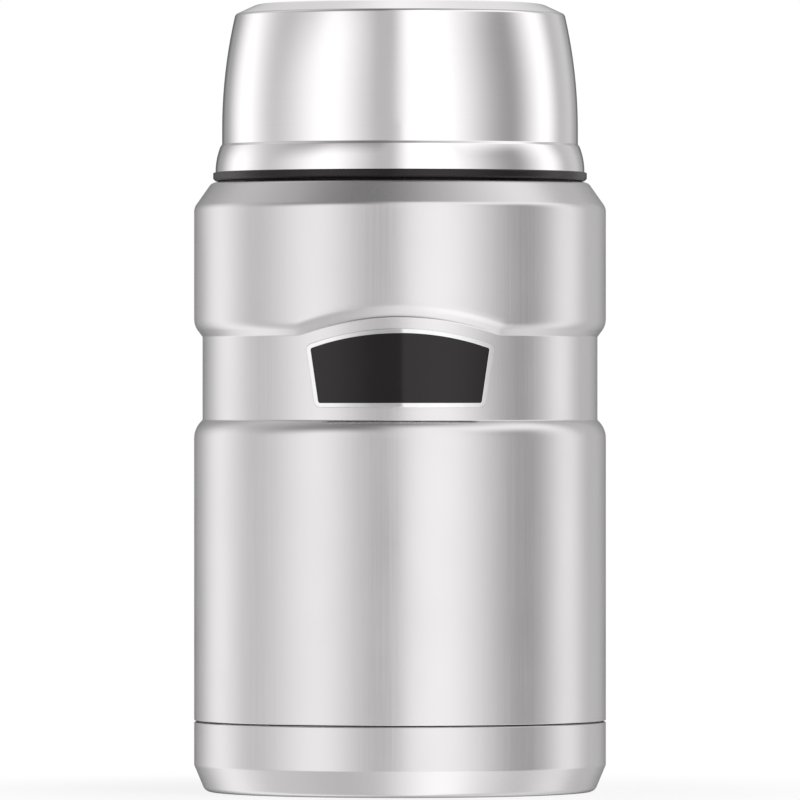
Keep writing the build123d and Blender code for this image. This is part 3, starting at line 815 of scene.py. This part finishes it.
# ---- Badge
def badge_loop():
    """The badge's outline from the front: rows of (x, z, outward x, outward z)."""
    side = BADGE_BOTTOM + BADGE_SIDE_HEIGHT
    half_top = BADGE_TOP_WIDTH / 2
    half_foot = BADGE_BOTTOM_WIDTH / 2
    radius = (half_top**2 + BADGE_ARCH_RISE**2) / (2 * BADGE_ARCH_RISE)
    half_angle = math.asin(half_top / radius)
    corners = [
        Corner(-half_foot, BADGE_BOTTOM, BADGE_CORNER_RADIUS, 1.0),
        Corner(-half_top, side, BADGE_CORNER_RADIUS, 1.0),
    ]
    for step in range(BADGE_ARCH_TRIM, BADGE_ARCH_STEPS + 1 - BADGE_ARCH_TRIM):
        angle = half_angle * (2 * step / BADGE_ARCH_STEPS - 1)
        z = side + BADGE_ARCH_RISE - radius * (1 - math.cos(angle))
        corners.append(Corner(radius * math.sin(angle), z, radius, 1.0))
    corners += [
        Corner(half_top, side, BADGE_CORNER_RADIUS, 1.0),
        Corner(half_foot, BADGE_BOTTOM, BADGE_CORNER_RADIUS, 1.0),
    ]
    return refined(rounded(corners, closed=True), BADGE_STEP)[::-1]


def on_band(loop, profile):
    """A profile of (offset, height above the band's axis) swept round a loop on the band."""
    x, z, out_x, out_z = loop.T[:4, None]
    offset, reach, across, away = profile.T[:4, :, None]
    x, z = x + offset * out_x, z + offset * out_z
    reach = reach + 0 * x
    y = -np.sqrt(reach**2 - x**2)
    flat = np.stack([out_x + 0 * x, 0 * x, out_z + 0 * x], axis=-1)
    radial = np.stack([x / reach, y / reach, 0 * x], axis=-1)
    normals = across[..., None] * flat + away[..., None] * radial
    return np.stack([x, y, z], axis=-1), unit(normals)


def fill_on_band(surface, loop, offset, reach, facing):
    """The inside of a loop on the band, as rings that shrink to its middle.

    Facing is 1 for a face that looks outward and -1 for one that looks at the band.
    """
    middle = np.array([0.0, BADGE_BOTTOM + BADGE_SIDE_HEIGHT / 2])
    edge = loop[:, 0:2] + offset * loop[:, 2:4]
    shares = np.linspace(1, 0, BADGE_FILL_RINGS + 1)[:-1]
    spots = middle + shares[:, None, None] * (edge - middle)[None]
    x, z = spots[..., 0], spots[..., 1]
    y = -np.sqrt(reach**2 - x**2)
    places = np.stack([x, y, z], axis=-1)
    normals = facing * np.stack([x / reach, y / reach, 0 * x], axis=-1)
    if facing > 0:
        places, normals = places[:, ::-1], normals[:, ::-1]
    index = surface.grid(places, normals)
    tip = np.array([0.0, -reach, middle[1]])
    surface.close(index[-1], tip, facing * np.array([0.0, -1.0, 0.0]), True)


def make_badge():
    """The plated badge with its raised frame, and the bare dark field inside it."""
    loop = badge_loop()
    crest = BADGE_PLATE_FACE + BADGE_FRAME_HEIGHT
    field = BADGE_PLATE_FACE + BADGE_FIELD_HEIGHT
    width = BADGE_FRAME_WIDTH
    inside = -width - BADGE_LAND
    frame_side = rounded([
        Corner(inside, BADGE_PLATE_FACE),
        Corner(-width, BADGE_PLATE_FACE, 0.04 * MM),
        Corner(-width, crest, BADGE_FRAME_INNER_EDGE),
        Corner(0.0, crest, BADGE_FRAME_OUTER_EDGE),
        Corner(0.0, BADGE_PLATE_BACK, 0.1 * MM),
        Corner(inside, BADGE_PLATE_BACK),
    ])
    plate = Surface()
    plate.grid(*on_band(loop, frame_side))
    fill_on_band(plate, loop, inside, BADGE_PLATE_FACE, 1)
    fill_on_band(plate, loop, inside, BADGE_PLATE_BACK, -1)
    make_piece("badge_frame", "jar", "badge_chrome", plate, chrome, "badge_plate")

    edge = -width - FIT_GAP
    field_side = rounded([
        Corner(edge - BADGE_LAND, field),
        Corner(edge, field, BADGE_FIELD_EDGE),
        Corner(edge, BADGE_PLATE_FACE + FIT_GAP),
    ])
    inlay = Surface()
    inlay.grid(*on_band(loop, field_side))
    fill_on_band(inlay, loop, edge - BADGE_LAND, field, 1)
    fill_on_band(inlay, loop, edge, BADGE_PLATE_FACE + FIT_GAP, -1)
    make_piece("badge_field", "jar", "badge_black", inlay, badge_black, "badge_inlay")


# ---- Stopper
def make_plug():
    """The plug and the barrel above it, with the threads of the jar and of the bowl."""
    recess = PLUG_BOTTOM + PLUG_RECESS
    corners = [
        Corner(0.0, BOSS_TOP - FIT_GAP),
        Corner(BOSS_RADIUS, BOSS_TOP - FIT_GAP, 0.25 * MM, 1.0),
        Corner(BOSS_RADIUS, SEAL_TOP, 0.4 * MM, 1.0),
        Corner(PLUG_RADIUS, SEAL_TOP, 0.3 * MM, 1.0),
        Corner(PLUG_RADIUS, PLUG_BOTTOM, PLUG_EDGE_RADIUS, 1.0),
        Corner(PLUG_RECESS_RADIUS, PLUG_BOTTOM, 0.5 * MM),
        Corner(PLUG_RECESS_RADIUS - PLUG_RECESS, recess, 0.5 * MM),
        Corner(GATE_RADIUS, recess, 0.3 * MM),
        Corner(GATE_RADIUS - GATE_DEPTH, recess + GATE_DEPTH, 0.3 * MM),
        Corner(0.0, recess + GATE_DEPTH),
    ]
    jar_side = thread(THREAD_HEIGHT, MOUTH_THREAD_BOTTOM + THREAD_OFFSET, MOUTH_THREAD_SWEEP)
    bowl_side = thread(THREAD_HEIGHT, BOWL_THREAD_BOTTOM + THREAD_OFFSET, BOWL_THREAD_SWEEP)

    def ridges(angles, z):
        return np.where(z < SEAL_TOP, jar_side.reach(angles, z), bowl_side.reach(angles, z))

    surface = turned(corners, relief=Relief((1, 0), ridges))
    make_piece("stopper_plug", "stopper", "stopper_black", surface, stopper_black, "stopper_body")


def bar_outline(rays):
    """Points and outward directions of a bar with round ends, where rays from Z meet it."""
    radius = GRIP_WIDTH / 2
    reach = GRIP_LENGTH / 2 - radius
    x, y = np.abs(rays[:, 0]), np.abs(rays[:, 1])
    to_end = x * reach + np.sqrt(np.maximum(radius**2 - (y * reach) ** 2, 0))
    to_side = radius / np.maximum(y, 1e-9)
    points = np.where(to_side * x < reach, to_side, to_end)[:, None] * rays
    middles = np.clip(points[:, 0], -reach, reach)
    outward = points - np.stack([middles, 0 * middles, 0 * middles], axis=-1)
    return points, unit(outward)


def make_cap():
    """The stopper's cap: a flat rim, a sunk floor and the bar to turn it by."""
    draft = (GRIP_TOP - CAP_FLOOR) * math.tan(GRIP_DRAFT)
    bar = rounded([
        Corner(-GRIP_WIDTH / 2 + GRIP_EDGE_RADIUS, GRIP_TOP),
        Corner(-draft, GRIP_TOP, GRIP_EDGE_RADIUS),
        Corner(0.0, CAP_FLOOR, GRIP_ROOT_RADIUS),
        Corner(GRIP_ROOT_STRIP, CAP_FLOOR),
    ])
    rim = rounded([
        Corner(CAP_WELL_RADIUS - 2.0 * MM, CAP_FLOOR),
        Corner(CAP_WELL_RADIUS, CAP_FLOOR, CAP_WELL_BEND),
        Corner(CAP_WELL_RADIUS + CAP_WELL_SLOPE, CAP_TOP, 0.6 * MM),
        Corner(BOSS_RADIUS, CAP_TOP, 0.8 * MM),
        Corner(BOSS_RADIUS, BOSS_TOP, 0.2 * MM),
        Corner(0.0, BOSS_TOP),
    ])
    under, rim = rim[-1], rim[:-1]
    rays, _ = compass(circle())
    points, outward = bar_outline(rays)
    rows = [(points + r * outward + z * UP, nr * outward + nz * UP) for r, z, nr, nz, _ in bar]
    rows += [(r * rays + z * UP, nr * rays + nz * UP) for r, z, nr, nz, _ in rim]
    places, normals = map(np.array, zip(*rows))
    surface = Surface()
    index = surface.grid(places, normals)
    surface.close(index[0], GRIP_TOP * UP, UP, False)
    surface.close(index[-1], under[1] * UP, -UP, True)
    make_piece("stopper_top", "stopper", "stopper_black", surface, stopper_black, "stopper_cap")


def make_gasket():
    """The stopper's sealing ring, with rounded edges."""
    inner = PLUG_RADIUS + SEAL_GAP
    corners = [
        Corner(inner, SEAL_TOP, 0.2 * MM),
        Corner(SEAL_RADIUS, SEAL_TOP, 0.3 * MM),
        Corner(SEAL_RADIUS, SEAL_BOTTOM, SEAL_EDGE_RADIUS),
        Corner(inner, SEAL_BOTTOM, SEAL_EDGE_RADIUS),
    ]
    surface = turned(corners, closed=True)
    make_piece("stopper_gasket", "seal", "seal_grey", surface, seal_grey, "stopper_seal")


# ---- Bowl lid
def make_ring():
    """The soft black ring under the bowl, with the small lip that closes on the shoulder."""
    inner = RING_RADIUS - RING_WIDTH
    lip = RING_RADIUS - RING_LIP_INSET
    corners = [
        Corner(inner, RING_TOP, RING_UPPER_EDGE),
        Corner(RING_RADIUS, RING_TOP, RING_UPPER_EDGE),
        Corner(RING_RADIUS, RING_BOTTOM + RING_LOWER_EDGE, RING_BEVEL_RADIUS),
        Corner(RING_RADIUS - RING_LOWER_EDGE, RING_BOTTOM, RING_BEVEL_RADIUS),
        Corner(lip, RING_BOTTOM, RING_LIP_EDGE),
        Corner(lip, SHOULDER_TOP + FIT_GAP, RING_LIP_EDGE),
        Corner(lip - RING_LIP_WIDTH, SHOULDER_TOP + FIT_GAP, RING_LIP_EDGE),
        Corner(lip - RING_LIP_WIDTH, RING_BOTTOM, RING_LIP_EDGE),
        Corner(inner, RING_BOTTOM, RING_UPPER_EDGE),
    ]
    surface = turned(corners, closed=True)
    make_piece("lid_ring", "soft_ring", "ring_black", surface, ring_black, "rim_ring")


def bowl_corners(inset, wall, crown_drop):
    """A bowl shell's outer side from its straight wall up over the crown to the axis."""
    height = BOWL_CURVE_TOP - BOWL_CURVE_BOTTOM
    half_turn = math.atan2(BOWL_CURVE_DRAFT, height)
    tangent = math.hypot(BOWL_CURVE_DRAFT, height) / (2 * math.cos(half_turn))
    edge = wall - BOWL_CURVE_DRAFT
    drop = crown_drop + inset
    edge_z = BOWL_CURVE_TOP - drop + BOWL_EDGE_SHIFT * inset
    return [
        Corner(wall - inset, BOWL_CURVE_BOTTOM + tangent, AS_LARGE_AS_FITS),
        Corner(edge - inset, edge_z, BOWL_CORNER_RADIUS - inset),
        Corner(edge - BOWL_CROWN_WIDTH, BOWL_TOP - drop, BOWL_CROWN_RADIUS),
        Corner(0.0, BOWL_TOP - drop),
    ]


def make_bowl_shell():
    """The bowl's outer shell, from the rolled rim band up to the flat bottom."""
    skirt = BOWL_RADIUS - BOWL_RIM_DRAFT
    wall = BOWL_WALL_RADIUS
    rise = BOWL_STEP_BOTTOM - BOWL_BOTTOM
    middle = (rise**2 + BOWL_RIM_DRAFT**2) / (2 * rise)     # where the skirt's tangents meet

    def side(inset):
        return [
            Corner(BOWL_RADIUS - inset, BOWL_BOTTOM, BOWL_RIM_EDGE),
            Corner(BOWL_RADIUS - inset, BOWL_BOTTOM + middle, BOWL_SKIRT_BEND),
            Corner(skirt - inset, BOWL_STEP_BOTTOM, BOWL_STEP_EDGE),
            Corner(wall - inset, BOWL_WALL_BOTTOM, BOWL_STEP_ROOT),
            *bowl_corners(inset, wall, 0.0),
        ]

    surface = turned(side(0.0)[::-1] + side(BOWL_STEEL))
    make_piece("lid_bowl", "bowl", "bowl_steel", surface, bowl_steel, "bowl_outer")


def make_bowl_liner():
    """The bowl's inner shell, with the flange that closes the rim."""
    flange = BOWL_RADIUS - BOWL_STEEL - FIT_GAP

    def side(inset):
        z = BOWL_BOTTOM + BOWL_STEEL - inset
        return [
            Corner(flange, z),
            Corner(BOWL_LINER_RADIUS - inset, z, 0.6 * MM + inset),
            *bowl_corners(inset, BOWL_LINER_RADIUS, BOWL_STEEL + BOWL_WALL_GAP),
        ]

    surface = turned(side(0.0)[::-1] + side(BOWL_STEEL))
    make_piece("lid_liner", "bowl", "bowl_steel", surface, bowl_steel, "bowl_inner")


def make_collar():
    """The threaded collar bonded in the bowl's rim."""
    inner = COLLAR_RADIUS - COLLAR_WALL
    corners = [
        Corner(inner, COLLAR_TOP, COLLAR_EDGE_RADIUS, 1.0),
        Corner(COLLAR_RADIUS, COLLAR_TOP, COLLAR_EDGE_RADIUS),
        Corner(COLLAR_RADIUS, COLLAR_BOTTOM, 0.3 * MM),
        Corner(inner + COLLAR_CHAMFER, COLLAR_BOTTOM, 0.2 * MM),
        Corner(inner, COLLAR_BOTTOM + COLLAR_CHAMFER, 0.2 * MM, 1.0),
    ]
    ridges = thread(-THREAD_HEIGHT, BOWL_THREAD_BOTTOM, BOWL_THREAD_SWEEP)
    surface = turned(corners, closed=True, relief=ridges)
    make_piece("lid_collar", "bowl", "stopper_black", surface, stopper_black, "bowl_collar")


# ---- Carried-over CAD nodes
def dress_cad_nodes():
    """Finishes for the CAD pieces that keep their own shape."""
    finishes = {
        "base_adhesive": adhesive,
        "bottom_closure": vessel_steel,
        "vacuum_seal": braze,
        "getter": getter_grey,
        "radiation_foil": foil,
        "badge_pad": adhesive,
        "stopper_insulation": foam_skin,
    }
    for node, material in finishes.items():
        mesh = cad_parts[node].data
        mesh.materials.clear()
        mesh.materials.append(material)


# ---- Stage
# Brightness of the studio round the object, at (degrees from the camera's side, to the right
# as the camera sees it): soft boxes with dark flags between them.
LEVEL_BANDS = [
    (-180, 0.07), (-168, 0.12), (-154, 0.35), (-120, 1.17), (-89, 0.61), (-47, 1.13), (-9, 0.50),
    (0.6, 0.50), (2, 1.12), (22, 1.20), (76, 0.34), (108, 1.13), (128, 0.53), (143, 0.60),
    (157, 0.38), (168, 0.14), (180, 0.07),
]
UPPER_BANDS = [
    (-180, 0.97), (-168, 0.70), (-148, 0.43), (-125, 0.66), (-97, 0.52), (-71, 0.34), (-39, 0.23),
    (-10, 0.26), (10, 0.75), (28, 1.12), (99, 1.12), (118, 0.80), (130, 0.56), (150, 0.45),
    (165, 0.78), (180, 0.97),
]
LOWER_BANDS = [
    (-180, 0.46), (-152, 0.52), (-130, 1.02), (-113, 1.12), (-87, 0.72), (-39, 0.60),
    (-12, 0.62), (0, 0.98), (20, 1.38), (34, 1.38), (56, 0.93), (80, 0.66), (108, 0.88),
    (138, 0.76), (180, 0.46),
]
ZENITH = 0.13
ZENITH_ELEVATION = 88
LOWER_TOP, LOWER_FOOT = -20, -42    # elevations between which the lower bands take over
# Elevations, in degrees, where the level bands end, the upper bands begin and they end.
LEVEL_TOPS = [
    (-180, 2), (-165, 4), (-140, 12), (-95, 6), (-70, 12), (-45, 22), (-15, 22), (6, 48),
    (28, 48), (46, 20), (95, 24), (110, 38), (135, 38), (150, 12), (165, 4), (180, 2),
]
UPPER_FEET = [
    (-180, 22), (-160, 40), (-140, 40), (-95, 40), (-70, 48), (-45, 55), (-15, 55), (6, 68),
    (28, 68), (46, 48), (95, 48), (110, 58), (135, 56), (150, 40), (165, 40), (180, 22),
]
UPPER_TOPS = [(-180, 55), (-15, 55), (22, 44), (110, 44), (145, 46), (165, 55), (180, 55)]
# The edge between the two soft boxes in front is sharp at eye level and softens above it.
EDGE_SHARP = [-180, -20, 0.6, 2, 20, 180]
EDGE_SOFT = [-180, -20, -7, 7, 20, 180]
EDGE_SOFTENS = (1, 4)
STUDIO_RADIUS = 4.0
STUDIO_COLUMNS, STUDIO_ROWS = 720, 160
STUDIO_POLE = 89.5                  # elevation of the dome's last rows, in degrees


def banded(bands, azimuth):
    """Smooth steps from each band's brightness to the next."""
    level = np.zeros_like(azimuth)
    for (a, low), (b, high) in zip(bands, bands[1:]):
        inside = (azimuth >= a) & (azimuth <= b)
        level = np.where(inside, low + (high - low) * eased(azimuth, a, b), level)
    return level


def studio_radiance(azimuth, elevation):
    """Brightness of the studio in a direction that is given in degrees."""
    spread = np.interp(azimuth, EDGE_SOFT, EDGE_SHARP)
    azimuth = azimuth + (spread - azimuth) * eased(elevation, *EDGE_SOFTENS)
    level, upper, lower, level_top, upper_foot, upper_top = (
        banded(bands, azimuth)
        for bands in (LEVEL_BANDS, UPPER_BANDS, LOWER_BANDS, LEVEL_TOPS, UPPER_FEET, UPPER_TOPS)
    )
    upper += (ZENITH - upper) * eased(elevation, upper_top, ZENITH_ELEVATION)
    level += (upper - level) * eased(elevation, level_top, upper_foot)
    return level + (lower - level) * eased(-elevation, -LOWER_TOP, -LOWER_FOOT)


def make_studio():
    """A glowing dome that only the object sees: soft boxes with dark flags between."""
    azimuth = -180 + 360 * np.arange(STUDIO_COLUMNS) / STUDIO_COLUMNS
    elevation = np.linspace(STUDIO_POLE, -STUDIO_POLE, STUDIO_ROWS)
    az, el = np.meshgrid(azimuth, elevation)
    level = studio_radiance(az, el)
    a, e = np.radians(az), np.radians(el)
    directions = np.stack([np.sin(a) * np.cos(e), -np.cos(a) * np.cos(e), np.sin(e)], axis=-1)
    surface = Surface()
    surface.grid(STUDIO_RADIUS * directions, -directions)
    mesh = bpy.data.meshes.new("studio")
    mesh.from_pydata(surface.places, [], surface.faces)
    glow = mesh.attributes.new("glow", "FLOAT", "POINT")
    glow.data.foreach_set("value", level.ravel().astype(np.float32))

    n = Nodes("studio")
    brightness = n.add("ShaderNodeAttribute", attribute_name="glow").outputs["Fac"]
    emission = n.add("ShaderNodeEmission")
    n.link(brightness, emission.inputs["Strength"])
    n.show(emission.outputs["Emission"])
    n.material.cycles.emission_sampling = "NONE"
    mesh.materials.append(n.material)
    dome = add_object("studio", mesh)
    dome.visible_camera = False
    dome.visible_shadow = False


FLOOR_RADIUS = 1.6
FLOOR_GAP = 0.1 * MM
FLOOR_SIDES = 96
FLOOR_COLOUR = (0.86, 0.86, 0.86, 1)
SHADOW_INNER, SHADOW_OUTER = 0.055, 0.16    # where the floor's shadow runs out to white
SHADOW_WHITE = 0.80                         # how much of it is white by the foot


def make_floor():
    """A pale floor that fades to the white background away from the object."""
    n = Nodes("floor")
    n.set(Base_Color=FLOOR_COLOUR, Roughness=0.7)
    rays = n.add("ShaderNodeLightPath").outputs
    white = n.add("ShaderNodeEmission").outputs["Emission"]
    reach = (SHADOW_INNER, SHADOW_OUTER)
    fade = n.between(n.radius(), SHADOW_WHITE, 1.0, reach, interpolation_type="SMOOTHSTEP")
    fade = n.maths("MULTIPLY", rays["Is Camera Ray"], fade)
    paper = n.mixed(fade, n.shader.outputs[0], white)
    clear = n.add("ShaderNodeBsdfTransparent").outputs["BSDF"]
    glass = n.maths("MAXIMUM", rays["Is Glossy Ray"], rays["Is Transmission Ray"])
    n.show(n.mixed(glass, paper, clear))

    outward, _ = compass(circle(FLOOR_SIDES))
    mesh = bpy.data.meshes.new("floor")
    edge = FLOOR_RADIUS * outward - FLOOR_GAP * UP
    mesh.from_pydata(edge.tolist(), [], [list(range(FLOOR_SIDES))])
    mesh.materials.append(n.material)
    floor = add_object("floor", mesh)


def make_world():
    """White for what is seen directly, in gloss or through glass, and black for light."""
    world = bpy.data.worlds.new("world")
    bpy.context.scene.world = world
    world.use_nodes = True
    tree = world.node_tree
    background = tree.nodes["Background"]
    rays = tree.nodes.new("ShaderNodeLightPath")
    seen = rays.outputs["Is Camera Ray"]
    for kind in ("Is Glossy Ray", "Is Transmission Ray"):
        either = tree.nodes.new("ShaderNodeMath")
        either.operation = "MAXIMUM"
        tree.links.new(seen, either.inputs[0])
        tree.links.new(rays.outputs[kind], either.inputs[1])
        seen = either.outputs[0]
    tree.links.new(seen, background.inputs["Strength"])
    background.inputs["Color"].default_value = (1, 1, 1, 1)


KEY_PLACE = (1.1, -1.2, 1.9)
KEY_TARGET = (0.0, 0.0, 0.09)       # the jar's middle
KEY_SIZE = 1.2
KEY_WATTS = 18.0


def make_key_light():
    """A soft square lamp that faces the jar's middle and isn't seen in its steel."""
    lamp = bpy.data.lights.new("key", "AREA")
    lamp.shape = "SQUARE"
    lamp.size = KEY_SIZE
    lamp.energy = KEY_WATTS
    x, y, z = np.subtract(KEY_TARGET, KEY_PLACE)
    item = add_object("key", lamp)
    item.location = KEY_PLACE
    item.rotation_euler = (
        math.atan2(math.hypot(x, y), -z), 0, math.atan2(y, x) - math.pi / 2
    )
    item.visible_glossy = False


CAMERA_DISTANCE = 2.78
CAMERA_HEIGHT = 0.0979
CAMERA_LENS = 500.0
CAMERA_SENSOR = 36.0


def make_camera():
    """A level camera with a long lens, at the middle of the jar's height."""
    camera = bpy.data.cameras.new("camera")
    camera.lens = CAMERA_LENS
    camera.sensor_width = CAMERA_SENSOR
    item = add_object("camera", camera)
    item.location = (0, -CAMERA_DISTANCE, CAMERA_HEIGHT)
    item.rotation_euler = (math.pi / 2, 0, 0)
    bpy.context.scene.camera = item


# ---- All together
make_shell()
make_base()
make_neck()
make_vessel()
make_badge()
make_plug()
make_cap()
make_gasket()
make_ring()
make_bowl_shell()
make_bowl_liner()
make_collar()
dress_cad_nodes()
make_studio()
make_floor()
make_world()
make_key_light()
make_camera()
bpy.context.scene.view_settings.view_transform = "Standard"
